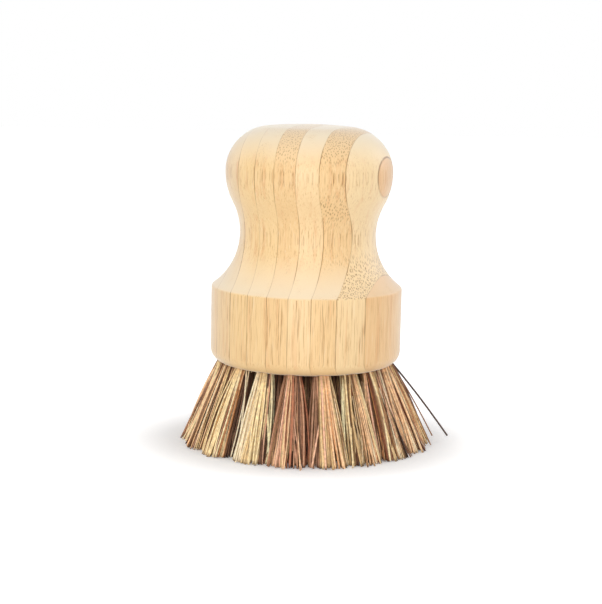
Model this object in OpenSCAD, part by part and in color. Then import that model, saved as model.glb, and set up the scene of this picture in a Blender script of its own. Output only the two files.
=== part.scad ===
// Palm pot brush: a turned laminated-bamboo handle with a knob for the palm,
// and three rings of splayed fibre tufts held in drilled bores by flat wire.
// The trimmed tips lie on z = 0, the handle stands above them on the Z axis,
// and the front of the brush faces -Y. All sizes are in millimetres.

/* [Handle base] */
// Diameter of the round base that carries the tufts
base_d = 50; // [48:0.5:56]
// Height of the base's upper edge above its flat underside
base_h = 20; // [17:0.5:24]
// Radius that rounds the rim of the underside
underside_round = 3.5; // [2:0.25:4.5]
// Radius that eases the base's upper edge
edge_round = 0.8; // [0.4:0.1:1.4]

/* [Handle waist and knob] */
// Diameter of the waist at its narrowest
waist_d = 35.6; // [33:0.5:39]
// Radius of the hollow that sweeps up from the base's edge through the waist
waist_sweep = 16.8; // [14:0.5:22]
// Diameter of the palm knob at its widest
knob_d = 43.7; // [41:0.5:50]
// Radius of the knob's side below its widest line
knob_sweep = 17.5; // [12:0.5:19]
// Radius of the knob's side above its widest line
knob_round = 11.7; // [8:0.5:14]
// Height of the shallow crown above that upper side
crown_rise = 0.5; // [0.3:0.1:1.5]

/* [Bristle field] */
// Height of the underside above the trimmed tips
bristle_h = 21.5; // [18:0.5:28]
// Number of tufts in the outer ring
outer_count = 18; // [14:1:18]
// Number of tufts in the middle ring
middle_count = 10; // [8:1:10]
// Number of tufts in the inner ring
inner_count = 4; // [3:1:4]
// Distance from the base's side to the circle of outer bores
rim_margin = 4.2; // [3.8:0.1:5]
// Radius of the circle of inner bores
inner_ring_r = 5.3; // [5:0.1:6]
// Lean of the outer tufts away from the axis, in degrees
outer_lean = 18.5; // [15:0.5:22]
// Lean of the inner tufts away from the axis, in degrees
inner_lean = 5; // [1:0.5:7]

/* [Bores] */
// Diameter of the bore that holds one tuft
bore_d = 4.6; // [4.4:0.1:5]
// Depth of the bore's straight part, along its own axis
bore_depth = 12; // [10:0.5:13]
// Full angle of the drill's point, which the bore ends in
drill_angle = 118; // [90:1:140]

/* [Tufts] */
// Clearance between a tuft's packed root and its bore
root_clearance = 0.05; // [0.03:0.01:0.1]
// Radius of the fold that closes a packed root
fold_round = 1.6; // [0.8:0.1:2]
// Diameter of the circle that a tuft's tips fill
tip_spread = 8.4; // [7.6:0.1:8.8]
// Thickness of one fibre
fibre_d = 0.54; // [0.4:0.02:0.6]
// Rings of fibres round the middle one
fibre_rings = 3; // [2:1:3]
// Share of the room between tips that a fibre may stray into
fibre_stray = 0.8; // [0:0.1:0.9]

/* [Anchors] */
// Height of the flat wire along the bore
anchor_h = 1.8; // [1.2:0.1:2.4]
// Thickness of the flat wire
anchor_t = 0.4; // [0.3:0.05:0.6]
// Depth that each end of the wire bites into the wood
anchor_bite = 0.4; // [0.2:0.05:0.5]
// Thickness of the fibres folded between the wire and the bore's end
fold_depth = 2.2; // [1.6:0.1:3]
// Clearance on each side of the wire
anchor_clearance = 0.03; // [0.02:0.01:0.06]

/* [Hidden] */
base_r = base_d / 2;
waist_r = waist_d / 2;
knob_r = knob_d / 2;
bore_r = bore_d / 2;
root_r = bore_r - root_clearance;

// Heights above the underside: the waist's hollow is one arc through the
// base's upper edge, and the knob's lower side is an arc tangent to it.
waist_step = base_r - waist_r;
waist_h = base_h + sqrt(2 * waist_step * waist_sweep - pow(waist_step, 2));
knob_step = knob_r - waist_r;
both_sweeps = waist_sweep + knob_sweep;
knob_h = waist_h + sqrt(2 * knob_step * both_sweeps - pow(knob_step, 2));
crown_h = knob_h + knob_round + crown_rise;

// The crown is a cap of a large sphere, tangent to the knob's upper side.
crown_inset = knob_r - knob_round;
crown_reach = knob_round + crown_rise;
crown_r = (pow(crown_inset, 2) + pow(crown_reach, 2) - pow(knob_round, 2)) / (2 * crown_rise);

// Centres of the profile's arcs, as [distance from the axis, height].
underside_c = [base_r - underside_round, underside_round];
waist_c = [waist_r + waist_sweep, waist_h];
edge_run = waist_c[0] - base_r + edge_round;
edge_c = [base_r - edge_round, waist_h - sqrt(pow(waist_sweep + edge_round, 2) - pow(edge_run, 2))];
knob_low_c = [knob_r - knob_sweep, knob_h];
knob_top_c = [crown_inset, knob_h];
crown_c = [0, crown_h - crown_r];

// Angles at which one arc hands over to the next.
edge_turn = heading(edge_c, waist_c);
waist_turn = heading(waist_c, knob_low_c);
crown_turn = heading(crown_c, knob_top_c);

// The middle ring lies half-way between the other two, in place and in lean.
// It has a tuft at the front, where the other two have the space between two.
RINGS = ["outer", "middle", "inner"];
outer_ring_r = base_r - rim_margin;
ring_count = [outer_count, middle_count, inner_count];
ring_start = [0.5, 0, 0.5];
ring_r = [outer_ring_r, (outer_ring_r + inner_ring_r) / 2, inner_ring_r];
ring_lean = [outer_lean, (outer_lean + inner_lean) / 2, inner_lean];

// Fibres stand in rings of six, twelve and so on round the middle one, which
// keeps to the tuft's own axis. At most they stray until two tips touch.
root_pitch = (root_r - fibre_d / 2) / fibre_rings;
tip_pitch = (tip_spread / 2 - fibre_d / 2) / fibre_rings;
stray_r = fibre_stray * (tip_pitch - fibre_d) / 2;
fibre_spots = [for (k = [0:fibre_rings], j = [0:max(0, 6 * k - 1)])
    k * [cos(60 * j / max(k, 1)), sin(60 * j / max(k, 1))]];
// Depth at which fibres start inside the packed root, and how far the root
// stands out of its bore's slanted mouth.
fibre_bed = 0.75 * fibre_d;
root_lip = 2 * root_clearance;

anchor_len = bore_d + 2 * anchor_bite;
anchor_top = bore_depth - fold_depth;

// Largest distance between a drawn arc and the true one.
arc_error = 0.01;
// How far a cutting shape runs past the surface that it cuts.
overcut = 1;
// Half the side of the block that trims the tips level.
trim_reach = base_d + bristle_h;

straw_tones = ["#c8a468", "#b07a52", "#d8bd88", "#8a6250", "#b99a62", "#a4704c"];

function ring_node(ring, i) = str("tuft_", RINGS[ring], i < 9 ? "_0" : "_", i + 1);

// Place of a packed root's lower end along its bore's axis.
function root_end(ring) = -bore_r * tan(ring_lean[ring]) - root_lip;

// Direction from one point to another, in degrees.
function heading(from, to) = atan2(to[1] - from[1], to[0] - from[0]);

// Points of an arc, close enough together to keep within arc_error.
function arc(centre, r, start, end) =
    let (step = 2 * acos(1 - arc_error / r), n = ceil(abs(end - start) / step))
    [for (i = [0:n]) let (a = start + (end - start) * i / n)
        centre + r * [cos(a), sin(a)]];

// Places its children in the bore's own frame: the origin is the middle of
// the bore's mouth, +Z runs up into the wood and +X leans away from the axis.
module in_bore(ring, i) {
    rotate([0, 0, 360 * (i + ring_start[ring]) / ring_count[ring] - 90])
        translate([ring_r[ring], 0, bristle_h])
            rotate([0, -ring_lean[ring], 0])
                children();
}

// Half outline of the handle: underside, rim, side, upper edge, waist, knob
// and crown, each arc tangent to the next.
module handle_outline() {
    polygon(concat(
        [[0, 0]],
        arc(underside_c, underside_round, -90, 0),
        arc(edge_c, edge_round, 0, edge_turn),
        arc(waist_c, waist_sweep, 180 + edge_turn, waist_turn),
        arc(knob_low_c, knob_sweep, waist_turn - 180, 0),
        arc(knob_top_c, knob_round, 0, crown_turn),
        arc(crown_c, crown_r, crown_turn, 90)));
}

// One drilled bore with its pointed end.
module bore() {
    rotate_extrude($fn = 48)
        polygon([[0, -bore_r - overcut], [bore_r, -bore_r - overcut], [bore_r, bore_depth],
            [0, bore_depth + bore_r / tan(drill_angle / 2)]]);
}

// Flat wire across the bore, grown on every side by a clearance.
module anchor_wire(clearance) {
    translate([-anchor_t / 2 - clearance, -anchor_len / 2 - clearance, anchor_top - anchor_h - clearance])
        cube([anchor_t, anchor_len, anchor_h] + 2 * clearance * [1, 1, 1]);
}

// Turned handle, drilled for the tufts and notched where the wires bite.
module handle() {
    color("#e2c491")
        difference() {
            translate([0, 0, bristle_h])
                rotate_extrude($fn = 180)
                    handle_outline();
            for (ring = [0:2], i = [0:ring_count[ring] - 1])
                in_bore(ring, i) {
                    bore();
                    anchor_wire(anchor_clearance);
                }
        }
}

// The flat wires, one across each bore.
module anchors() {
    color("#b9bcc0")
        for (ring = [0:2], i = [0:ring_count[ring] - 1])
            in_bore(ring, i)
                anchor_wire(0);
}

// Packed root of a tuft: it fills the bore, is closed by the fold of its
// fibres at the top and ends just past the bore's slanted mouth.
module packed_root(ring) {
    rotate_extrude($fn = 48)
        polygon(concat(
            [[0, root_end(ring)], [root_r, root_end(ring)]],
            arc([root_r - fold_round, bore_depth - fold_round], fold_round, 0, 90),
            [[0, bore_depth]]));
}

// One straight fibre from its place in the root to its place among the tips.
module fibre(start, end) {
    run = end - start;
    length = norm(run);
    translate(start)
        rotate([0, acos(run[2] / length), atan2(run[1], run[0])])
            cylinder(d = fibre_d, h = length * 1.15, $fn = 16);
}

// Fibres that leave the packed root and fan out to the tips, each turned and
// strayed a little by its own tuft's draw.
module fan(ring, i) {
    seed = 100 * ring + i;
    tip_z = -bristle_h / cos(ring_lean[ring]);
    spin = rands(0, 60, 1, seed)[0];
    away = rands(0, stray_r, len(fibre_spots), seed + 30);
    toward = rands(0, 360, len(fibre_spots), seed + 60);
    rotate([0, 0, spin])
        for (n = [0:len(fibre_spots) - 1]) {
            root = root_pitch * fibre_spots[n];
            astray = away[n] * min(1, norm(fibre_spots[n])) * [cos(toward[n]), sin(toward[n])];
            tip = tip_pitch * fibre_spots[n] + astray;
            fibre([root[0], root[1], root_end(ring) + fibre_bed], [tip[0], tip[1], tip_z]);
        }
}

// A tuft: packed root and fan, slotted for its wire and trimmed level.
module tuft(ring, i) {
    color(straw_tones[(2 * ring + i) % len(straw_tones)])
        difference() {
            in_bore(ring, i) {
                packed_root(ring);
                fan(ring, i);
            }
            in_bore(ring, i)
                anchor_wire(anchor_clearance);
            translate([-trim_reach, -trim_reach, -bristle_h])
                cube([2 * trim_reach, 2 * trim_reach, bristle_h]);
        }
}

handle();
anchors();
for (ring = [0:2], i = [0:ring_count[ring] - 1])
    tuft(ring, i);
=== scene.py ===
"""A palm pot brush of turned laminated bamboo, with splayed tufts of plant fibre.

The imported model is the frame: every piece sits where its node sits, in metres, with
z = 0 on the surface that the brush stands on, +Z up the handle and -Y the front.
The handle keeps its turned form and gets its bamboo. Each tuft's solid is replaced by
a bundle of single fibres, and the flat wires in the bores get their zinc.
"""

from __future__ import annotations

import logging
import math
from dataclasses import dataclass, field
from enum import Enum

import bmesh
import bpy
import numpy as np
from bpy.types import Material, Node, NodeSocket, NodeTree, Object
from mathutils import Matrix, Vector


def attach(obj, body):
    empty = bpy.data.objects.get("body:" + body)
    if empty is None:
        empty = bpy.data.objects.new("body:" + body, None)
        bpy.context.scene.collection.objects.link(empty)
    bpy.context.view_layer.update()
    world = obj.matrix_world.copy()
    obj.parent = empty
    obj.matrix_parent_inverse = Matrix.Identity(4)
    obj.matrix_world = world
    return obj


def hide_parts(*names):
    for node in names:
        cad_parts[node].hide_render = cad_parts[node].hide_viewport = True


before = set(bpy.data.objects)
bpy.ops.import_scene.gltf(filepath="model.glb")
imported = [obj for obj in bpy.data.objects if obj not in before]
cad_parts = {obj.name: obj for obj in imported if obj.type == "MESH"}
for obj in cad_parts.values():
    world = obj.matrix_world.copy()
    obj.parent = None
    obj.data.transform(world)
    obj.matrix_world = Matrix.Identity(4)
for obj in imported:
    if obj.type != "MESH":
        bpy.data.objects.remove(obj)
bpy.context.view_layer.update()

LOG = logging.getLogger("palm_pot_brush")
MM = 0.001
ROOT = "root"
PICTURE_HEIGHT_PX = 604
WHITE = "#ffffff"
# Settings that many nodes share.
SMOOTH = {"interpolation_type": "SMOOTHSTEP"}
TIMES = {"operation": "MULTIPLY"}
TIMES_PLUS = {"operation": "MULTIPLY_ADD"}
LARGER = {"operation": "MAXIMUM"}
# Numbers of the colour sockets on Blender's Mix node, whose names repeat for each type.
MIX_A, MIX_B, MIX_RESULT = 6, 7, 2
# Edges of a tube that turn more than this are its cut ends.
TUBE_END_DEG = 65

Triple = tuple[float, float, float]
Colour = tuple[float, float, float, float]
Link = Node | NodeSocket | float


def linear(hex_colour: str) -> Colour:
    """Turn an sRGB hex colour into linear light, by the sRGB standard's own curve.

    Args:
        hex_colour: six hex digits after a hash, such as "#e2c491".

    Returns:
        The linear red, green and blue, with alpha 1.
    """
    parts = [int(hex_colour[i : i + 2], 16) / 255 for i in (1, 3, 5)]
    red, green, blue = (p / 12.92 if p <= 0.04045 else ((p + 0.055) / 1.055) ** 2.4 for p in parts)
    return red, green, blue, 1.0


def add(
    tree: NodeTree,
    kind: str,
    settings: dict[str, object] | None = None,
    inputs: dict[int | str, object] | None = None,
    stops: list[tuple[float, Colour]] | None = None,
) -> Node:
    """Add a node, give it its settings, and fill or link its inputs.

    Args:
        tree: the material's or world's node tree.
        kind: the shader node's type, such as "Math" for a ShaderNodeMath.
        settings: the node's own properties by name.
        inputs: for each input, by name or number: a value, another node's output, or
            another node, of which the first output is meant.
        stops: the places and colours of a colour ramp's stops.

    Returns:
        The new node.
    """
    node = tree.nodes.new(f"ShaderNode{kind}")
    for name, value in (settings or {}).items():
        setattr(node, name, value)
    for key, value in (inputs or {}).items():
        source = value.outputs[0] if isinstance(value, Node) else value
        if isinstance(source, NodeSocket):
            tree.links.new(source, node.inputs[key])
        else:
            node.inputs[key].default_value = source
    for number, (place, colour) in enumerate(stops or []):
        ramp = node.color_ramp.elements
        # A new ramp has two stops.
        stop = ramp[number] if number < 2 else ramp.new(place)
        stop.position = place
        stop.color = colour
    return node


def new_material(name: str) -> tuple[Material, NodeTree]:
    """Make an empty node material.

    Args:
        name: the material's name.

    Returns:
        The material and its node tree.
    """
    material = bpy.data.materials.new(name)
    material.use_nodes = True
    material.node_tree.nodes.clear()
    return material, material.node_tree


def unit(vectors: np.ndarray) -> np.ndarray:
    """Scale vectors along the last axis to length 1."""
    return vectors / np.linalg.norm(vectors, axis=-1, keepdims=True)


def new_piece(name: str, vertices: np.ndarray, faces: list[list[int]]) -> Object:
    """Make an object at the origin from points in millimetres.

    Args:
        name: the piece's name.
        vertices: points of shape (count, 3).
        faces: corner numbers of each face, anticlockwise from outside.

    Returns:
        The object, linked to the scene.
    """
    mesh = bpy.data.meshes.new(name)
    mesh.from_pydata((vertices * MM).tolist(), [], faces)
    mesh.update()
    piece = bpy.data.objects.new(name, mesh)
    bpy.context.scene.collection.objects.link(piece)
    return piece


def report(piece: Object) -> None:
    """Log a piece's name and its count of faces."""
    LOG.info("%s: %d faces", piece.name, len(piece.data.polygons))


@dataclass(frozen=True)
class Fade:
    """A value that goes from before to after while a measure crosses a span, and holds outside it."""

    start: float
    end: float
    before: float
    after: float

    def over(self, measure: Link) -> dict[int, Link]:
        """Give the inputs of a Map Range node for the measure."""
        return {0: measure, 1: self.start, 2: self.end, 3: self.before, 4: self.after}


def held_back(tree: NodeTree, strength: Link, *limits: tuple[Link, Fade]) -> Node:
    """Multiply a pattern's strength by fades, each over its own measure.

    Args:
        tree: the material's node tree.
        strength: the strength to start from, 1.0 for the whole of it.
        limits: pairs of a measure and the fade over it.

    Returns:
        The node that gives what is left of the strength.
    """
    for measure, fade in limits:
        share = add(tree, "MapRange", SMOOTH, fade.over(measure))
        strength = add(tree, "Math", TIMES, {0: strength, 1: share})
    return strength


def seen_directly(tree: NodeTree) -> Node:
    """Tell the rays of the camera and of reflections, 1, from all others, 0.

    Args:
        tree: the material's or world's node tree.

    Returns:
        The node that gives 1 or 0.
    """
    path = add(tree, "LightPath").outputs
    return add(tree, "Math", LARGER, {0: path["Is Camera Ray"], 1: path["Is Glossy Ray"]})


@dataclass(frozen=True)
class Figure:
    """One figure of the wood: noise whose grains are drawn out along the culm."""

    width_mm: float
    length_mm: float
    detail: float
    roughness: float

    def draw(self, tree: NodeTree, place: Link) -> Node:
        """Draw the figure: divide the place by width, width and length, and take noise there.

        Args:
            tree: the material's node tree.
            place: the place in metres.

        Returns:
            The noise.
        """
        across, along = 1 / (self.width_mm * MM), 1 / (self.length_mm * MM)
        grains = add(tree, "VectorMath", TIMES, {0: place, 1: (across, across, along)})
        noise = {"Vector": grains, "Scale": 1.0, "Detail": self.detail, "Roughness": self.roughness}
        return add(tree, "TexNoise", {}, noise)


@dataclass(frozen=True)
class LaminatedBamboo:
    """Laminated bamboo, turned, sanded to about 240 grit and oiled.

    Strips of culm wall are glued side by side, so the eye sees straight dark glue lines
    and a change of tone at each. The culm's fibre bundles run up the Z axis: as fine
    streaks on upright faces, and as brown dots wherever the turned surface slopes
    across them. Oil leaves a soft satin gloss.

    A real glue line is some 0.05 mm wide and a real fibre thinner still, too fine for a
    picture of 0.26 mm a pixel, so lines and grain are as coarse as they need to be to
    show. Spans of heights are in metres, and those of a rise are parts of 1.
    """

    # The strips' width, where their glue lines fall and which way these face.
    strip_mm: float = 5.6
    strip_offset: float = 0.27
    strip_normal_deg: float = -21.85
    first_strip: int = -5
    # Each strip comes from another part of the culm, so its pattern lies this far from
    # its neighbour's, in metres.
    strip_move: Triple = (0.31, 0.173, 0.437)
    # Tone and strength of streaks, from the far left to the far right of the front view.
    strips: tuple[tuple[str, float], ...] = (
        ("#ecc590", 0.4), ("#eccb9c", 0.25), ("#eecf9f", 1.0), ("#f5d298", 0.7), ("#f5d29a", 0.75),
        ("#f1cb93", 1.0), ("#f6d4a0", 0.9), ("#f2cc94", 1.0), ("#f7d9a7", 1.0), ("#ebbd86", 0.25),
    )
    # The strips' feet, where the base is cut, are closer in tone than their other ends.
    foot_tone: str = "#f3ce95"
    foot_fade: Fade = Fade(0.036, 0.046, 0.45, 0.0)

    grain: Figure = Figure(0.27, 8.0, 4.0, 0.68)
    vessels: Figure = Figure(0.36, 13.0, 3.0, 0.65)
    veins: Figure = Figure(1.3, 30.0, 2.0, 0.55)
    vein_warm: str = "#e2a46a"
    vein_fade: Fade = Fade(0.5, 0.74, 0.0, 0.45)
    grain_dark: str = "#c4935a"
    grain_fade: Fade = Fade(0.52, 0.74, 0.0, 0.85)
    pale: str = "#fdeacb"
    pale_fade: Fade = Fade(0.47, 0.2, 0.0, 0.6)
    vessel_brown: str = "#b07a42"
    vessel_fade: Fade = Fade(0.54, 0.66, 0.0, 0.95)
    # How grain and vessels weaken as the surface tilts, and how veins gather the vessels.
    upright_fade: Fade = Fade(0.15, 0.6, 1.0, 0.2)
    steep_fade: Fade = Fade(0.04, 0.22, 1.0, 0.05)
    cluster_fade: Fade = Fade(0.34, 0.56, 0.3, 1.0)

    # Cut ends look paler, and a painted highlight whitens the surface, the more it faces up,
    # less so where bundles show and on the last strip on the right, which is steamed darker.
    end_grain_pale_and_highlight: str = "#fef2da"
    end_grain_and_highlight_fade: Fade = Fade(0.15, 1.1, 0.0, 0.85)
    end_and_highlight_speckle_fade: Fade = Fade(0.0, 1.0, 1.0, 0.3)
    end_and_highlight_steamed_fade: Fade = Fade(3.2, 3.8, 1.0, 0.5)

    bundle_brown: str = "#99682f"
    bundle_mm: float = 0.5
    bundle_breaks: Figure = Figure(0.5, 1.3, 1.0, 0.5)
    bundle_ragged: float = 0.5
    bundle_scatter: float = 0.95
    bundle_core: float = 0.3
    # A bundle's half width where the mask is 0, and how much it gains where it is 1.
    bundle_reach: float = 0.46
    bundle_reach_gain: float = 0.2
    bundle_weight: float = 0.8
    bundle_tilt_fade: Fade = Fade(0.08, 0.45, 0.0, 1.0)
    clouds: Figure = Figure(4.0, 22.0, 1.0, 0.5)
    cloud_fade: Fade = Fade(0.52, 0.78, 0.0, 0.3)
    crown_fade: Fade = Fade(0.85, 0.99, 0.0, 0.35)
    # Strips that show close-set bundles: strip number, middle and half height in
    # millimetres, and strength.
    patches: tuple[tuple[int, float, float, float], ...] = (
        (0, 82.5, 12.5, 0.65), (2, 81.0, 15.0, 0.8), (2, 60.0, 12.0, 0.85),
        (3, 46.0, 9.5, 1.0), (-1, 70.0, 9.0, 0.3), (-4, 78.0, 14.0, 0.8),
    )
    patch_core: float = 0.6
    patch_ragged_mm: float = 16.0

    glue_brown: str = "#9c6932"
    glue_mm: float = 0.17
    glue_core: float = 0.6
    glue_rim: float = 1.6
    glue_breaks: Figure = Figure(4.0, 9.0, 1.0, 0.5)
    glue_break_fade: Fade = Fade(0.35, 0.6, 0.3, 0.85)
    # Glue lines fade where the surface faces up, under the painted highlight.
    glue_highlight_fade: Fade = Fade(0.35, 0.85, 1.0, 0.3)
    glue_under_fade: Fade = Fade(-0.6, -0.1, 0.25, 1.0)

    roughness: Fade = Fade(0.3, 0.7, 0.34, 0.5)
    bundle_sink: float = 0.8
    glue_sink: float = 0.5
    relief_mm: float = 0.06
    relief_strength: float = 0.35
    fuzz: float = 0.6
    fuzz_roughness: float = 0.35
    ior: float = 1.5

    def material(self) -> Material:
        """Build the bamboo from its strips, grain, fibre bundles and glue lines.

        A place's strip is the whole part of its distance along the glue faces' normal
        over the strips' width. Rise is the normal's Z, and tilt is its size.

        Returns:
            The material, which reads Object coordinates in metres.
        """
        material, tree = new_material("laminated_bamboo")
        coordinates = add(tree, "TexCoord").outputs
        place = coordinates["Object"]
        turn = math.radians(self.strip_normal_deg)
        per_strip = 1 / (self.strip_mm * MM)
        facing = (math.cos(turn) * per_strip, math.sin(turn) * per_strip, 0)
        across = add(tree, "VectorMath", {"operation": "DOT_PRODUCT"}, {0: place, 1: facing})
        strips = add(tree, "Math", {}, {0: across.outputs["Value"], 1: self.strip_offset})
        number = add(tree, "Math", {"operation": "FLOOR"}, {0: strips})
        rise = add(tree, "SeparateXYZ", {}, {0: coordinates["Normal"]}).outputs["Z"]
        tilt = add(tree, "Math", {"operation": "ABSOLUTE"}, {0: rise})
        height = add(tree, "SeparateXYZ", {}, {0: place}).outputs["Z"]

        move = add(tree, "VectorMath", {"operation": "SCALE"}, {0: self.strip_move, "Scale": number})
        own = add(tree, "VectorMath", {}, {0: place, 1: move})
        grain, vessels, veins = (
            figure.draw(tree, own) for figure in (self.grain, self.vessels, self.veins)
        )
        colour, streaks = self._strip_tone(tree, number)
        speckle = self._speckle(tree, own, height, number, rise)
        bundles = self._bundles(tree, own, speckle, tilt)
        glue = self._glue_lines(tree, strips, place, rise)
        upright = held_back(tree, 1.0, (tilt, self.upright_fade))
        streaked = held_back(tree, streaks, (tilt, self.steep_fade), (veins, self.cluster_fade))
        # Paler end grain and a painted highlight, the more the surface faces up.
        open_wood = (speckle, self.end_and_highlight_speckle_fade), (number, self.end_and_highlight_steamed_fade)
        ends = held_back(tree, 1.0, (rise, self.end_grain_and_highlight_fade), *open_wood)
        for share, tint in (
            (held_back(tree, 1.0, (height, self.foot_fade)), self.foot_tone),
            (held_back(tree, upright, (veins, self.vein_fade)), self.vein_warm),
            (held_back(tree, upright, (grain, self.grain_fade)), self.grain_dark),
            (held_back(tree, upright, (grain, self.pale_fade)), self.pale),
            (held_back(tree, streaked, (vessels, self.vessel_fade)), self.vessel_brown),
            (ends, self.end_grain_pale_and_highlight),
            (bundles, self.bundle_brown),
            (glue, self.glue_brown),
        ):
            sides = {0: share, MIX_A: colour, MIX_B: linear(tint)}
            colour = add(tree, "Mix", {"data_type": "RGBA"}, sides).outputs[MIX_RESULT]

        relief = add(tree, "Math", TIMES_PLUS, {0: bundles, 1: -self.bundle_sink, 2: grain})
        relief = add(tree, "Math", TIMES_PLUS, {0: glue, 1: -self.glue_sink, 2: relief})
        bumps = {"Strength": self.relief_strength, "Distance": self.relief_mm * MM, "Height": relief}
        look = {
            "Base Color": colour,
            "Roughness": add(tree, "MapRange", {}, self.roughness.over(grain)),
            "IOR": self.ior,
            "Sheen Weight": self.fuzz,
            "Sheen Roughness": self.fuzz_roughness,
            "Normal": add(tree, "Bump", {}, bumps),
        }
        surface = add(tree, "BsdfPrincipled", {}, look)
        add(tree, "OutputMaterial", {}, {"Surface": surface})
        return material

    def _strip_tone(self, tree: NodeTree, number: Link) -> tuple[NodeSocket, NodeSocket]:
        """Give each strip its own tone and streaks: its number picks a step of a stepped ramp.

        Args:
            tree: the material's node tree.
            number: the strip's number.

        Returns:
            The tone, and the strength of streaks, which the ramp holds as its alpha.
        """
        count = len(self.strips)
        first = self.first_strip - 0.5
        share = add(tree, "MapRange", {}, Fade(first, first + count, 0.0, 1.0).over(number))
        rows = enumerate(self.strips)
        stops = [(i / count, (*linear(tone)[:3], streaks)) for i, (tone, streaks) in rows]
        ramp = add(tree, "ValToRGB", {}, {"Fac": share}, stops)
        ramp.color_ramp.interpolation = "CONSTANT"
        return ramp.outputs["Color"], ramp.outputs["Alpha"]

    def _speckle(self, tree: NodeTree, own: Link, height: Link, number: Link, rise: Link) -> Node:
        """Say how strongly bundles show: in clouds, on the crown, and in patches of some strips.

        A patch fades with the distance of the height from its middle. A share of the
        cloud is added to the height first, which makes its edges ragged. The cloud's
        mean is a half, so the middle goes up by half of that share.

        Args:
            tree: the material's node tree.
            own: the place in the strip's own pattern.
            height: the height over the ground, in metres.
            number: the strip's number.
            rise: the surface normal's Z.

        Returns:
            The largest of the strengths.
        """
        cloud = self.clouds.draw(tree, own)
        mask = held_back(tree, 1.0, (cloud, self.cloud_fade))
        crown = held_back(tree, 1.0, (rise, self.crown_fade))
        mask = add(tree, "Math", LARGER, {0: mask, 1: crown})
        ragged = add(tree, "Math", TIMES_PLUS, {0: cloud, 1: self.patch_ragged_mm * MM, 2: height})
        for strip, middle, half, weight in self.patches:
            same = add(tree, "Math", {"operation": "COMPARE"}, {0: number, 1: float(strip), 2: 0.5})
            lifted = (middle + self.patch_ragged_mm / 2) * MM
            above = add(tree, "Math", {"operation": "SUBTRACT"}, {0: ragged, 1: lifted})
            apart = add(tree, "Math", {"operation": "ABSOLUTE"}, {0: above})
            edge = Fade(half * self.patch_core * MM, half * MM, weight, 0.0)
            mask = add(tree, "Math", LARGER, {0: mask, 1: held_back(tree, same, (apart, edge))})
        return mask

    def _bundles(self, tree: NodeTree, own: Link, mask: Link, tilt: Link) -> Node:
        """Draw the fibre bundles: upright cells, each dark near its middle.

        A stretched noise breaks each bundle up along Z, and its half width grows with
        the mask, so a patch fades out as finer dots. Upright faces show none.

        Args:
            tree: the material's node tree.
            own: the place in the strip's own pattern.
            mask: how strongly bundles show.
            tilt: the size of the surface normal's Z.

        Returns:
            The bundles' strength.
        """
        breaks = self.bundle_breaks.draw(tree, own)
        close_set = {"Vector": own, "Scale": 1 / (self.bundle_mm * MM), "Randomness": self.bundle_scatter}
        distance = add(tree, "TexVoronoi", {"voronoi_dimensions": "2D"}, close_set).outputs["Distance"]
        ragged = add(tree, "Math", TIMES_PLUS, {0: breaks, 1: self.bundle_ragged, 2: distance})
        reach = add(tree, "Math", TIMES_PLUS, {0: mask, 1: self.bundle_reach_gain, 2: self.bundle_reach})
        dot = {0: ragged, 1: self.bundle_core, 2: reach, 3: self.bundle_weight, 4: 0.0}
        spots = add(tree, "MapRange", SMOOTH, dot)
        shown = add(tree, "Math", TIMES, {0: spots, 1: mask})
        return held_back(tree, shown, (tilt, self.bundle_tilt_fade))

    def _glue_lines(self, tree: NodeTree, strips: Link, place: Link, rise: Link) -> Node:
        """Draw the glue lines: the distance to the nearest whole strip number, within half a line.

        They come and go along their length, are faint under the rim, and fade under the
        painted highlight where the surface faces up.

        Args:
            tree: the material's node tree.
            strips: the place across the strips, counted in strips.
            place: the place in metres.
            rise: the surface normal's Z.

        Returns:
            The lines' strength.
        """
        away = add(tree, "Math", {"operation": "PINGPONG"}, {0: strips, 1: 0.5})
        half = self.glue_mm / self.strip_mm / 2
        return held_back(
            tree,
            1.0,
            (away, Fade(half * self.glue_core, half * self.glue_rim, 1.0, 0.0)),
            (self.glue_breaks.draw(tree, place), self.glue_break_fade),
            (rise, self.glue_highlight_fade),
            (rise, self.glue_under_fade),
        )


@dataclass(frozen=True)
class PlantFibre:
    """Palm and agave leaf fibre, combed, dyed by its own tannin and cut.

    Every fibre has one tone along its length, with darker and paler stretches, and a
    dry, slightly waxy surface that gives long faint highlights.
    """

    tone_attribute: str = "fibre_tone_and_painted_shade"
    mottle_mm: float = 0.9
    mottle_detail: float = 3.0
    mottle: Fade = Fade(0.3, 0.7, 0.75, 1.2)
    roughness: float = 0.55
    gloss: float = 0.25
    ior: float = 1.5

    def material(self) -> Material:
        """Build the fibre from its stored tone, which holds painted shade at the roots and tips, and a
        mottle along it.

        Returns:
            The material, which reads the piece's tone attribute.
        """
        material, tree = new_material("plant_fibre")
        tone = add(tree, "Attribute", {"attribute_name": self.tone_attribute})
        noise = {
            "Vector": add(tree, "TexCoord").outputs["Object"],
            "Scale": 1 / (self.mottle_mm * MM),
            "Detail": self.mottle_detail,
        }
        mottle = add(tree, "TexNoise", {}, noise)
        level = add(tree, "MapRange", {}, self.mottle.over(mottle))
        mottled = {0: tone.outputs["Color"], "Scale": level}
        look = {
            "Base Color": add(tree, "VectorMath", {"operation": "SCALE"}, mottled),
            "Roughness": self.roughness,
            "Specular IOR Level": self.gloss,
            "IOR": self.ior,
        }
        surface = add(tree, "BsdfPrincipled", {}, look)
        add(tree, "OutputMaterial", {}, {"Surface": surface})
        return material


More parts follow.
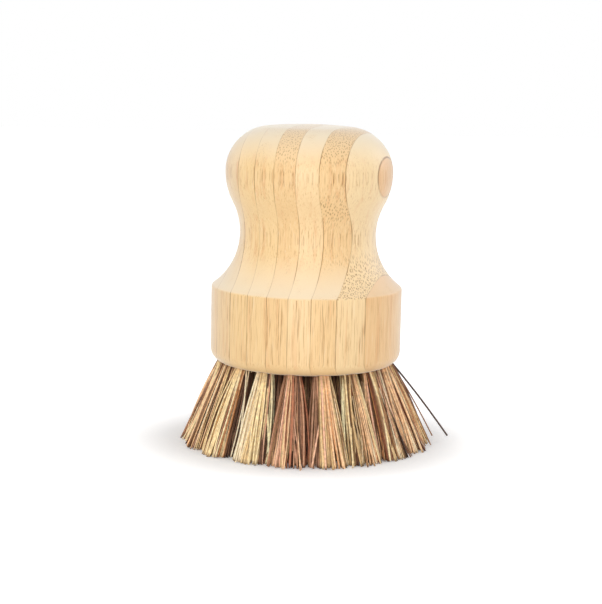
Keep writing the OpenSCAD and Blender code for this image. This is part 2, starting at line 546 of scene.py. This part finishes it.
@dataclass(frozen=True)
class GalvanisedWire:
    """Flat steel wire, rolled, dipped in zinc and cut to length.

    The zinc dulls in a fine uneven bloom, which the eye sees as a soft grey metal with
    faint darker clouds. The bloom is drawn coarser than it is, so that it shows.
    """

    zinc: str = "#b4b7ba"
    zinc_dull: str = "#8d9094"
    bloom_mm: float = 0.12
    bloom_detail: float = 3.0
    roughness: Fade = Fade(0.0, 1.0, 0.32, 0.5)
    relief_mm: float = 0.02
    relief_strength: float = 0.2

    def material(self) -> Material:
        """Build the zinc from its bloom, a fine cloud of dull patches.

        Returns:
            The material, which reads Object coordinates.
        """
        material, tree = new_material("galvanised_wire")
        noise = {
            "Vector": add(tree, "TexCoord").outputs["Object"],
            "Scale": 1 / (self.bloom_mm * MM),
            "Detail": self.bloom_detail,
        }
        bloom = add(tree, "TexNoise", {}, noise)
        sides = {0: bloom, MIX_A: linear(self.zinc), MIX_B: linear(self.zinc_dull)}
        bumps = {"Strength": self.relief_strength, "Distance": self.relief_mm * MM, "Height": bloom}
        look = {
            "Base Color": add(tree, "Mix", {"data_type": "RGBA"}, sides).outputs[MIX_RESULT],
            "Metallic": 1.0,
            "Roughness": add(tree, "MapRange", {}, self.roughness.over(bloom)),
            "Normal": add(tree, "Bump", {}, bumps),
        }
        surface = add(tree, "BsdfPrincipled", {}, look)
        add(tree, "OutputMaterial", {}, {"Surface": surface})
        return material


@dataclass(frozen=True)
class WhiteSweep:
    """A white paper sweep under the object: matt, with a painted soft shadow near the brush, and lit to
    white away from it.
    """

    paper: str = "#f1f3f6"
    # How the glow rises with the distance from the brush, in metres: its weaker start paints a soft
    # shadow near the brush.
    glow: Fade = Fade(0.028, 0.058, 0.1, 0.6)
    roughness: float = 0.9

    def material(self) -> Material:
        """Build the paper, with a glow that only the camera and reflections see.

        The glow rises with the distance from the brush, so that the brush's shadow stays,
        the weaker glow near it paints a soft shadow, and the far paper is white.

        Returns:
            The material.
        """
        material, tree = new_material("white_sweep")
        paper = {"Base Color": linear(self.paper), "Roughness": self.roughness}
        plain = add(tree, "BsdfPrincipled", {}, paper)
        place = add(tree, "TexCoord").outputs["Object"]
        away = add(tree, "VectorMath", {"operation": "LENGTH"}, {0: place}).outputs["Value"]
        # Less glow near the brush: a painted soft shadow.
        strength = add(tree, "MapRange", SMOOTH, self.glow.over(away))
        glow = add(tree, "Emission", {}, {"Color": linear(WHITE), "Strength": strength})
        lit = add(tree, "AddShader", {}, {0: plain, 1: glow})
        pick = add(tree, "MixShader", {}, {0: seen_directly(tree), 1: plain, 2: lit})
        add(tree, "OutputMaterial", {}, {"Surface": pick})
        return material


@dataclass
class Handle:
    """The turned bamboo handle, with its base, waist, palm knob and drilled bores."""

    node: str = "handle"
    slot: str = "bamboo"
    merge_mm: float = 0.001
    sharp_deg: float = 32.0
    finish: LaminatedBamboo = field(default_factory=LaminatedBamboo)

    def build(self) -> Object:
        """Copy the turned form, join its loose triangles, and smooth what was turned.

        Returns:
            The handle's piece, which stands for its node.
        """
        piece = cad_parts[self.node].copy()
        piece.data = piece.data.copy()
        piece.name = "turned_handle"
        piece.parent = None
        bpy.context.scene.collection.objects.link(piece)
        work = bmesh.new()
        work.from_mesh(piece.data)
        bmesh.ops.remove_doubles(work, verts=work.verts, dist=self.merge_mm * MM)
        work.to_mesh(piece.data)
        work.free()
        piece.data.shade_smooth()
        piece.data.set_sharp_from_angle(angle=math.radians(self.sharp_deg))
        return piece

    def dress(self, piece: Object) -> None:
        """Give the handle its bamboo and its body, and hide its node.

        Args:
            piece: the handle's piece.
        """
        piece.data.materials.clear()
        piece.data.materials.append(self.finish.material())
        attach(piece, ROOT)
        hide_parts(self.node)


@dataclass
class Anchors:
    """The flat wires that hold the folded tufts down in their bores."""

    node: str = "anchors"
    finish: GalvanisedWire = field(default_factory=GalvanisedWire)

    def dress(self) -> Object:
        """Give the wires their zinc.

        Returns:
            The wires' own node.
        """
        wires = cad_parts[self.node]
        wires.data.materials.clear()
        wires.data.materials.append(self.finish.material())
        return wires


class Tone(Enum):
    """Colours of single fibres, from bleached agave to dark palm."""

    IVORY = "#fce4bc"
    CREAM = "#f8dca8"
    STRAW = "#f2d09a"
    TAN = "#e5b88a"
    AMBER = "#c88c5c"
    SALMON = "#dba886"
    RUSSET = "#aa6c4e"
    MAUVE = "#9c7358"
    UMBER = "#5f412f"
    SAGE = "#dfcfa3"
    SLATE = "#57463e"


# The tones by their bare names, for the tables of tufts.
IVORY, CREAM, STRAW, TAN, AMBER, SALMON, RUSSET, MAUVE, UMBER, SAGE, SLATE = Tone
Blend = tuple[tuple[Tone, float], ...]

# The tufts that face the front: what each shows from left to right, as tones and their
# shares, and how its fan, its levels, its strands and its dark fibres differ.
FRONT_TUFTS: dict[str, dict[str, Blend | float]] = {
    "tuft_outer_14": dict(
        blend=((MAUVE, 0.12), (CREAM, 0.25), (TAN, 0.3), (STRAW, 0.33)),
        mingle_mm=2.5, level_middle=0.2, level_spread=0.55, dark_share=0.14,
    ),
    "tuft_outer_15": dict(
        blend=((TAN, 0.25), (MAUVE, 0.12), (STRAW, 0.3), (TAN, 0.13), (STRAW, 0.2)),
        level_middle=0.12, level_spread=0.5, dark_share=0.12,
    ),
    "tuft_outer_16": dict(
        blend=((STRAW, 0.2), (CREAM, 0.27), (AMBER, 0.17), (UMBER, 0.22), (TAN, 0.01), (UMBER, 0.13)),
        tip_shift_mm=-0.5, level_middle=0.33, strand_spread=0.2, dark_share=0.04, mingle_mm=0.7,
    ),
    "tuft_outer_17": dict(
        blend=((IVORY, 0.2), (CREAM, 0.5), (SALMON, 0.1), (UMBER, 0.05), (SAGE, 0.15)),
        tip_shift_mm=0.5, tip_r_mm=4.6, level_spread=0.2, strand_spread=0.12, stray_share=0.03,
        dark_share=0.03, mingle_mm=0.6,
    ),
    "tuft_outer_18": dict(
        blend=((SALMON, 0.24), (MAUVE, 0.06), (TAN, 0.3), (UMBER, 0.1), (SALMON, 0.12), (RUSSET, 0.18)),
        tip_shift_mm=0.2, tip_r_mm=5.3, level_middle=0.2, level_spread=0.5, strand_spread=0.4,
        crossing_share=0.2, crossing_mm=2.0, fan_power=0.8,
    ),
    "tuft_outer_01": dict(
        blend=(
            (MAUVE, 0.1), (SALMON, 0.1), (IVORY, 0.07), (STRAW, 0.34), (AMBER, 0.07), (TAN, 0.24),
            (CREAM, 0.08),
        ),
        tip_shift_mm=0.6, tip_r_mm=5.1, crossing_mm=2.0, level_middle=0.13, dark_share=0.14,
    ),
    "tuft_outer_02": dict(
        blend=((SAGE, 0.12), (CREAM, 0.14), (MAUVE, 0.12), (IVORY, 0.12), (STRAW, 0.2), (TAN, 0.3)),
        crossing_share=0.2, crossing_mm=1.8, bow_mm=0.45, tip_r_mm=4.9, level_middle=0.42,
        level_spread=0.7, strand_count=20, strand_spread=0.5, dark_share=0.24, mingle_mm=1.0,
    ),
    "tuft_outer_03": dict(
        blend=(
            (TAN, 0.3), (MAUVE, 0.1), (AMBER, 0.03), (SALMON, 0.12), (TAN, 0.2), (IVORY, 0.1),
            (SALMON, 0.15),
        ),
        crossing_share=0.3, crossing_mm=2.2, bow_mm=0.5, tip_r_mm=4.9, level_middle=0.5,
        level_spread=0.75, strand_count=17, strand_spread=0.55, dark_share=0.25, stray_share=0.28,
    ),
    "tuft_outer_04": dict(
        blend=(
            (SALMON, 0.2), (IVORY, 0.12), (MAUVE, 0.13), (TAN, 0.15), (SALMON, 0.1), (TAN, 0.15),
            (IVORY, 0.15),
        ),
        tip_out_mm=0.8, crossing_mm=1.8, level_middle=0.75, level_spread=0.8, strand_count=24,
        strand_spread=0.4, dark_share=0.26, stray_share=0.3, mingle_mm=1.2,
    ),
    "tuft_outer_05": dict(
        blend=((TAN, 0.35), (IVORY, 0.15), (MAUVE, 0.1), (TAN, 0.25), (STRAW, 0.15)),
        tip_out_mm=0.9, level_middle=0.5, level_spread=0.6, strand_count=18, strand_spread=0.4,
        dark_share=0.15,
    ),
    "tuft_middle_01": dict(blend=((RUSSET, 0.3), (TAN, 0.4), (MAUVE, 0.3))),
    "tuft_middle_02": dict(blend=((TAN, 0.6), (STRAW, 0.4))),
    "tuft_middle_10": dict(blend=((STRAW, 0.5), (SALMON, 0.5))),
}

# Blends that the other tufts draw from.
COMMON_BLENDS: tuple[Blend, ...] = (
    ((STRAW, 0.5), (TAN, 0.3), (SAGE, 0.2)),
    ((TAN, 0.4), (SALMON, 0.3), (MAUVE, 0.3)),
    ((CREAM, 0.5), (STRAW, 0.35), (AMBER, 0.15)),
    ((RUSSET, 0.25), (TAN, 0.55), (UMBER, 0.2)),
    ((SALMON, 0.45), (STRAW, 0.35), (RUSSET, 0.2)),
)
# Tones that stray singly into every tuft.
STRAY_TONES: tuple[Tone, ...] = (IVORY, CREAM, STRAW, TAN, TAN, MAUVE, UMBER, RUSSET)


@dataclass
class Ring:
    """One ring of tufts: the places and leans of its bores, and the painted shade at its roots."""

    name: str
    count: int
    start: float
    radius_mm: float
    lean_deg: float
    painted_root_shade: float
    painted_root_shade_mm: float


@dataclass
class Tuft:
    """One tuft: fibres packed in a leaning bore, fanned out and trimmed level.

    A fibre's middle line leaves the bore along the bore's axis, bends outward at the
    mouth and then runs almost straight to its tip. Real fibres are thinner and more.
    They are drawn as thick as they need to be to show singly.
    """

    node: str
    ring: Ring
    number: int
    blend: Blend
    seed: int
    slot: str = "plant_fibre"

    # The bore, and how far into it the fibres reach.
    underside_mm: float = 21.5
    bore_r_mm: float = 2.3
    depth_mm: float = 3.0

    # The fibres: their count, thickness and faces.
    fibre_count: int = 180
    fibre_r_mm: float = 0.18
    fibre_r_spread: float = 0.3
    fibre_r_limits: tuple[float, float] = (0.6, 1.6)
    sides: int = 6
    stations: int = 9
    last_bend: float = 0.965

    # The fan: its width and place, how it opens, and how fibres cross, bow and end.
    tip_r_mm: float = 4.5
    tip_jitter_mm: float = 0.25
    tip_shift_mm: float = 0.0
    tip_out_mm: float = 0.0
    fan_power: float = 0.97
    crossing_share: float = 0.12
    crossing_mm: float = 1.0
    bow_mm: float = 0.35
    trim_mm: float = 0.22

    # The tones: how far those of a blend mingle and how many fibres stray from it, how
    # light single fibres and whole strands are, and how a fibre changes along its length.
    mingle_mm: float = 1.3
    stray_share: float = 0.2
    level_middle: float = 0.25
    level_spread: float = 0.42
    dark_share: float = 0.08
    dark_level: float = 0.4
    strand_count: int = 26
    strand_spread: float = 0.3
    strand_mingle_mm: float = 0.15
    drift: float = 0.035
    shade_limits: tuple[float, float] = (0.3, 1.5)
    # How dark the cut ends are: partly their own tone, partly painted shade where the tips meet the
    # floor.
    end_tone_and_painted_shade: tuple[float, float] = (0.08, 0.75)
    # Powers of the shade in red, green and blue: a darker fibre is also a warmer one.
    warming: Triple = (1.0, 1.2, 1.4)

    def axes(self) -> tuple[np.ndarray, ...]:
        """Work out the bore's own frame.

        Returns:
            The middle of the mouth, and unit vectors leaning outward, round the ring
            and down the fibres.
        """
        turn = 2 * math.pi * (self.number + self.ring.start) / self.ring.count - math.pi / 2
        lean = math.radians(self.ring.lean_deg)
        radial = np.array([math.cos(turn), math.sin(turn), 0.0])
        up = np.array([0.0, 0.0, 1.0])
        mouth = self.ring.radius_mm * radial + self.underside_mm * up
        outward = math.cos(lean) * radial + math.sin(lean) * up
        around = np.array([-math.sin(turn), math.cos(turn), 0.0])
        down = math.sin(lean) * radial - math.cos(lean) * up
        return mouth, outward, around, down

    def spots(self, draw: np.random.Generator) -> tuple[np.ndarray, np.ndarray]:
        """Place the fibres in the mouth and among the tips.

        Fibre k of n stands at the square root of its share of the disc's radius and
        turns by the golden angle, which packs the disc evenly. The tips' place s round
        the ring becomes (s sqrt(1 - s s) + asin s) 2 / pi, which spreads them evenly
        from side to side, so that a fan is as full at its edges as in its middle.

        Args:
            draw: the tuft's own random numbers.

        Returns:
            Two arrays of shape (fibres, 2), in the frame across the bore.
        """
        k = np.arange(self.fibre_count)
        share = np.sqrt((k + 0.5) / self.fibre_count)
        golden = math.pi * (3 - math.sqrt(5))
        turn = k * golden + draw.uniform(0, 2 * math.pi)
        disc = np.stack([share * np.cos(turn), share * np.sin(turn)], axis=1)
        roots = disc * (self.bore_r_mm - self.fibre_r_mm)
        side = disc[:, 1].copy()
        disc[:, 1] = (side * np.sqrt(1 - side**2) + np.arcsin(side)) * 2 / math.pi
        tips = disc * (self.tip_r_mm - self.fibre_r_mm)
        tips += draw.normal(0, self.tip_jitter_mm, tips.shape) + [self.tip_out_mm, self.tip_shift_mm]
        crossing = draw.random(self.fibre_count) < self.crossing_share
        tips[crossing] = tips[draw.permutation(np.flatnonzero(crossing))]
        tips[crossing, 1] += draw.normal(0, self.crossing_mm, crossing.sum())
        return roots, tips

    def lines(self, draw: np.random.Generator) -> np.ndarray:
        """Work out the middle lines of all fibres.

        Across the bore, a point is the root plus its way to the tip times g, where g is
        0 inside the bore and rises as a power of (a / length) below it, plus a bow of
        one half wave. Along the bore it runs evenly from inside to the trimmed tip.

        Args:
            draw: the tuft's own random numbers.

        Returns:
            Points of shape (fibres, stations, 3), in millimetres.
        """
        mouth, outward, around, down = self.axes()
        roots, tips = self.spots(draw)
        lean = math.radians(self.ring.lean_deg)
        height = np.abs(draw.normal(0, self.trim_mm, self.fibre_count))
        length = (self.underside_mm - height + tips[:, 0] * math.sin(lean)) / math.cos(lean)
        share = np.append(np.linspace(0, self.last_bend, self.stations - 1), 1)
        along = -self.depth_mm + share[None, :] * (length + self.depth_mm)[:, None]
        fan = np.clip(along / length[:, None], 0, None) ** self.fan_power
        bow = draw.normal(0, self.bow_mm, (self.fibre_count, 2))
        wave = np.sin(math.pi * np.clip(along / length[:, None], 0, 1))
        flat = roots[:, None, :] + (tips - roots)[:, None, :] * fan[:, :, None]
        flat += bow[:, None, :] * wave[:, :, None]
        return mouth + flat[:, :, :1] * outward + flat[:, :, 1:] * around + along[:, :, None] * down

    def tones(self, lines: np.ndarray, draw: np.random.Generator) -> np.ndarray:
        """Colour the fibres so that the blend runs from left to right over the tips.

        Args:
            lines: the fibres' middle lines.
            draw: the tuft's own random numbers.

        Returns:
            Linear colours of shape (fibres, stations, 4).
        """
        tips = lines[:, -1, 0]
        order = np.argsort(np.argsort(tips + draw.normal(0, self.mingle_mm, tips.shape)))
        place = (order + 0.5) / self.fibre_count
        ends = np.cumsum([share for _, share in self.blend])
        picks = np.searchsorted(ends / ends[-1], place)
        palette = np.array([linear(tone.value) for tone, _ in self.blend])
        colour = palette[np.minimum(picks, len(self.blend) - 1)]
        strays = draw.random(self.fibre_count) < self.stray_share
        others = np.array([linear(tone.value) for tone in STRAY_TONES])
        colour[strays] = others[draw.integers(len(others), size=strays.sum())]
        # The shade holds painted shade at the roots and cut ends.
        shade = self.shades(lines, draw)
        out = np.ones((self.fibre_count, self.stations, 4))
        out[:, :, :3] = colour[:, None, :3] * shade[:, :, None] ** np.array(self.warming)
        out[:, :, :3] /= np.maximum(out[:, :, :3].max(axis=2, keepdims=True), 1)
        return out

    def shades(self, lines: np.ndarray, draw: np.random.Generator) -> np.ndarray:
        """Say how light each fibre is along its length.

        A shade is e to a normal draw, times that of the fibre's strand, its neighbours
        side by side, plus a drift along it. The ring's painted shade darkens the roots by
        the square of the way down, and the cut end is darker, partly its own tone and
        partly painted shade where the tips meet the floor.

        Args:
            lines: the fibres' middle lines.
            draw: the tuft's own random numbers.

        Returns:
            Shades of shape (fibres, stations).
        """
        tips = lines[:, -1, 0]
        level = np.exp(draw.normal(self.level_middle, self.level_spread, (self.fibre_count, 1)))
        level[draw.random(self.fibre_count) < self.dark_share] *= self.dark_level
        drift = draw.normal(0, self.drift, (self.fibre_count, self.stations)).cumsum(axis=1)
        order = np.argsort(np.argsort(tips + draw.normal(0, self.strand_mingle_mm, tips.shape)))
        strands = np.exp(draw.normal(0, self.strand_spread, (self.strand_count, 1)))
        level *= strands[order * self.strand_count // self.fibre_count]
        # Painted shade at the roots, under the rim and among the other tufts.
        down = np.clip((self.underside_mm - lines[:, :, 2]) / self.ring.painted_root_shade_mm, 0, 1)
        shade = np.clip(level + drift, *self.shade_limits)
        shade *= self.ring.painted_root_shade + (1 - self.ring.painted_root_shade) * down**2
        # Darker cut ends: partly their own tone, partly painted shade where the tips meet the floor.
        shade[:, -1] *= draw.uniform(*self.end_tone_and_painted_shade, self.fibre_count)
        return shade

    def build(self) -> Object:
        """Sweep every fibre's outline along its middle line.

        Returns:
            The tuft's piece, with its tones stored on its points.
        """
        draw = np.random.default_rng(self.seed)
        lines = self.lines(draw)
        spread = draw.normal(1.0, self.fibre_r_spread, self.fibre_count)
        radii = self.fibre_r_mm * np.clip(spread, *self.fibre_r_limits)
        tones = self.tones(lines, draw)
        name = self.node.replace("tuft", "fibres")
        piece = tube_bundle(name, lines, radii, self.sides, level_ends=True)
        store_tones(piece, np.repeat(tones, self.sides, axis=1).reshape(-1, 4))
        return piece

    def dress(self, piece: Object, finish: Material) -> None:
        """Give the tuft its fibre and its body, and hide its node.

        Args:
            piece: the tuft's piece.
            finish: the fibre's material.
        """
        piece.data.materials.append(finish)
        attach(piece, ROOT)
        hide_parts(self.node)


def tube_bundle(
    name: str, lines: np.ndarray, radii: np.ndarray, sides: int, level_ends: bool
) -> Object:
    """Make a closed tube round each of many lines, as one mesh.

    Round each point of a line stands a ring: the point plus the radius times
    cos(angle) n1 + sin(angle) n2, where n1 and n2 are square to the line. The last
    ring slides along its line until it is level, as a trimmed end is.

    Args:
        name: the piece's name.
        lines: points of shape (tubes, stations, 3), in millimetres.
        radii: one radius for each tube.
        sides: corners of a ring.
        level_ends: whether the last ring is cut level.

    Returns:
        The bundle, smooth along the tubes and sharp at their ends.
    """
    tubes, stations, _ = lines.shape
    ways = unit(np.gradient(lines, axis=1))
    side = np.array([1.0, 0.0, 0.0])
    n1 = unit(side - (ways @ side)[..., None] * ways)
    n2 = np.cross(ways, n1)
    angle = 2 * math.pi * np.arange(sides) / sides
    ring = np.cos(angle)[:, None] * n1[:, :, None, :] + np.sin(angle)[:, None] * n2[:, :, None, :]
    points = lines[:, :, None, :] + radii[:, None, None, None] * ring
    if level_ends:
        last, way = points[:, -1], ways[:, -1]
        slide = (lines[:, -1, None, 2] - last[:, :, 2]) / way[:, None, 2]
        points[:, -1] = last + slide[..., None] * way[:, None, :]
    index = np.arange(tubes * stations * sides).reshape(tubes, stations, sides)
    near, far = index[:, :-1], index[:, 1:]
    corners = [near, np.roll(near, -1, axis=2), np.roll(far, -1, axis=2), far]
    walls = np.stack(corners, axis=-1).reshape(-1, 4)
    caps = np.concatenate([index[:, 0, ::-1], index[:, -1]])
    piece = new_piece(name, points.reshape(-1, 3), walls.tolist() + caps.tolist())
    piece.data.shade_smooth()
    piece.data.set_sharp_from_angle(angle=math.radians(TUBE_END_DEG))
    return piece


def store_tones(piece: Object, tones: np.ndarray) -> None:
    """Store a linear colour on each point of a piece, for its fibre material."""
    layer = piece.data.attributes.new(PlantFibre.tone_attribute, "FLOAT_COLOR", "POINT")
    layer.data.foreach_set("color", tones.astype(np.float32).ravel())


@dataclass
class StrayFibres:
    """The three dark fibres that leave the right tuft: a long one and two at its edge.

    Each runs from two points in the bore to the mouth, then along a straight line plus
    a bow of one half wave, outward and up. Places are in millimetres.
    """

    roots: tuple[Triple, ...] = ((21.3, -1.0, 25.2), (21.9, -1.1, 23.6))
    mouth: Triple = (22.3, -1.2, 22.2)
    ends: tuple[Triple, ...] = ((38.2, -2.4, 2.2), (34.1, -3.2, 2.3), (33.6, -5.0, 0.2))
    radii_mm: tuple[float, ...] = (0.24, 0.17, 0.15)
    tones: tuple[Tone, ...] = (SLATE, MAUVE, MAUVE)
    bow: Triple = (0.2, 0.0, 0.25)
    stations: int = 10
    sides: int = 6

    def build(self) -> Object:
        """Sweep the three fibres as one piece.

        Returns:
            The piece, with its tones stored on its points.
        """
        share = np.linspace(0, 1, self.stations)[:, None]
        mouth, ends = np.array(self.mouth), np.array(self.ends)
        free = mouth + (ends - mouth)[:, None, :] * share + np.array(self.bow) * np.sin(math.pi * share)
        roots = np.repeat(np.array([self.roots]), len(ends), axis=0)
        lines = np.concatenate([roots, free], axis=1)
        piece = tube_bundle("stray_fibres", lines, np.array(self.radii_mm), self.sides, level_ends=False)
        tones = np.array([linear(tone.value) for tone in self.tones])
        store_tones(piece, np.repeat(tones, len(piece.data.vertices) // len(tones), axis=0))
        return piece

    def dress(self, piece: Object, finish: Material) -> None:
        """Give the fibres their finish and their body.

        Args:
            piece: the fibres' piece.
            finish: the fibre's material.
        """
        piece.data.materials.append(finish)
        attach(piece, ROOT)


@dataclass
class BristleField:
    """All three rings of tufts, and the few fibres that stray from them."""

    rings: tuple[Ring, ...] = (
        # Each ring ends with the painted shade at its roots and how deep it reaches.
        Ring("outer", 18, start=0.5, radius_mm=20.8, lean_deg=18.5, painted_root_shade=0.6, painted_root_shade_mm=1.3),
        Ring("middle", 10, start=0.0, radius_mm=13.05, lean_deg=11.75, painted_root_shade=0.04, painted_root_shade_mm=6.0),
        Ring("inner", 4, start=0.5, radius_mm=5.3, lean_deg=5.0, painted_root_shade=0.04, painted_root_shade_mm=10.0),
    )
    seed: int = 4100
    strays: StrayFibres = field(default_factory=StrayFibres)
    finish: PlantFibre = field(default_factory=PlantFibre)

    def tufts(self) -> list[Tuft]:
        """List the tufts with their blends, in the order of their nodes.

        Returns:
            The tufts, each with a seed of its own.
        """
        draw = np.random.default_rng(self.seed)
        made = []
        for ring in self.rings:
            for number in range(ring.count):
                node = f"tuft_{ring.name}_{number + 1:02d}"
                common = COMMON_BLENDS[draw.integers(len(COMMON_BLENDS))]
                own = {"blend": common, **FRONT_TUFTS.get(node, {})}
                made.append(Tuft(node, ring, number, seed=self.seed + 1 + len(made), **own))
        return made

    def build(self) -> None:
        """Build, dress and report every tuft and the stray fibres."""
        material = self.finish.material()
        for part in (*self.tufts(), self.strays):
            piece = part.build()
            part.dress(piece, material)
            report(piece)


@dataclass
class Viewpoint:
    """The camera: a long lens a little above the brush, looking down at its middle."""

    distance_mm: float = 450.0
    elevation_deg: float = 6.89
    azimuth_deg: float = -1.85
    orbit_height_mm: float = 51.5
    look_left_mm: float = 1.39
    look_down_mm: float = 14.31
    roll_deg: float = 1.29
    focal_px: float = 1716.5
    sensor_mm: float = 36.0
    nearest_mm: float = 10.0

    def build(self) -> None:
        """Place the camera and make it the scene's own."""
        turn, rise = math.radians(self.azimuth_deg), math.radians(self.elevation_deg)
        level = math.cos(rise)
        back = Vector((math.sin(turn) * level, -math.cos(turn) * level, math.sin(rise)))
        right = Vector((math.cos(turn), math.sin(turn), 0))
        up = back.cross(right)
        middle = Vector((0, 0, self.orbit_height_mm))
        eye = middle + self.distance_mm * back
        target = middle - self.look_left_mm * right - self.look_down_mm * up
        data = bpy.data.cameras.new("camera")
        data.sensor_fit = "VERTICAL"
        data.sensor_height = data.sensor_width = self.sensor_mm
        data.lens = self.focal_px / PICTURE_HEIGHT_PX * self.sensor_mm
        data.clip_start = self.nearest_mm * MM
        camera = bpy.data.objects.new("camera", data)
        bpy.context.scene.collection.objects.link(camera)
        aim = (target - eye).to_track_quat("-Z", "Y").to_matrix().to_4x4()
        roll = Matrix.Rotation(math.radians(self.roll_deg), 4, "Z")
        camera.matrix_world = Matrix.Translation(eye * MM) @ aim @ roll
        bpy.context.scene.camera = camera


@dataclass(frozen=True)
class Lamp:
    """One soft box: where it stands, how wide it is and how much it gives."""

    name: str
    place_mm: Triple
    width_mm: float
    watts: float
    colour: str = WHITE


@dataclass
class Studio:
    """A white paper sweep, a plain white room and soft boxes."""

    lamps: tuple[Lamp, ...] = (
        Lamp("key", (-420, -520, 620), 420, 1.6, "#fffaf2"),
        Lamp("fill", (560, -420, 320), 520, 0.82),
        Lamp("low", (-80, -700, 130), 300, 1.55),
        Lamp("rim_left", (-620, 330, 260), 400, 0.6),
        Lamp("rim_right", (620, 330, 260), 400, 1.0),
    )
    aim_mm: Triple = (0.0, 0.0, 45.0)
    floor_half_mm: float = 1500.0
    room_strength: float = 0.46
    sweep: WhiteSweep = field(default_factory=WhiteSweep)

    def build(self) -> None:
        """Build the floor, the room's light and the lamps."""
        h = self.floor_half_mm
        corners = np.array([[-h, -h, 0], [h, -h, 0], [h, h, 0], [-h, h, 0]])
        floor = new_piece("floor", corners, [[0, 1, 2, 3]])
        floor.data.materials.append(self.sweep.material())
        self._room()
        for lamp in self.lamps:
            self._light(lamp)

    def _room(self) -> None:
        """Make the world: an even white, at full white where the camera or a reflection sees it."""
        world = bpy.data.worlds.new("white_room")
        bpy.context.scene.world = world
        world.use_nodes = True
        tree = world.node_tree
        tree.nodes.clear()
        levels = {"Value": seen_directly(tree), "To Min": self.room_strength}
        strength = add(tree, "MapRange", {}, levels)
        light = add(tree, "Background", {}, {"Color": linear(WHITE), "Strength": strength})
        add(tree, "OutputWorld", {}, {"Surface": light})

    def _light(self, lamp: Lamp) -> None:
        """Place one soft box so that it faces the brush.

        Args:
            lamp: the soft box.
        """
        data = bpy.data.lights.new(lamp.name, "AREA")
        data.size = lamp.width_mm * MM
        data.energy = lamp.watts
        data.color = linear(lamp.colour)[:3]
        light = bpy.data.objects.new(lamp.name, data)
        bpy.context.scene.collection.objects.link(light)
        place = Vector(lamp.place_mm) * MM
        way = Vector(self.aim_mm) * MM - place
        turn = way.to_track_quat("-Z", "Y").to_matrix().to_4x4()
        light.matrix_world = Matrix.Translation(place) @ turn


def main() -> None:
    """Build the brush, its room and its camera."""
    logging.basicConfig(level=logging.INFO, format="%(name)s: %(message)s")
    bpy.context.scene.view_settings.view_transform = "Standard"
    Viewpoint().build()
    Studio().build()
    handle = Handle()
    piece = handle.build()
    handle.dress(piece)
    report(piece)
    report(Anchors().dress())
    BristleField().build()


if __name__ == "__main__":
    main()
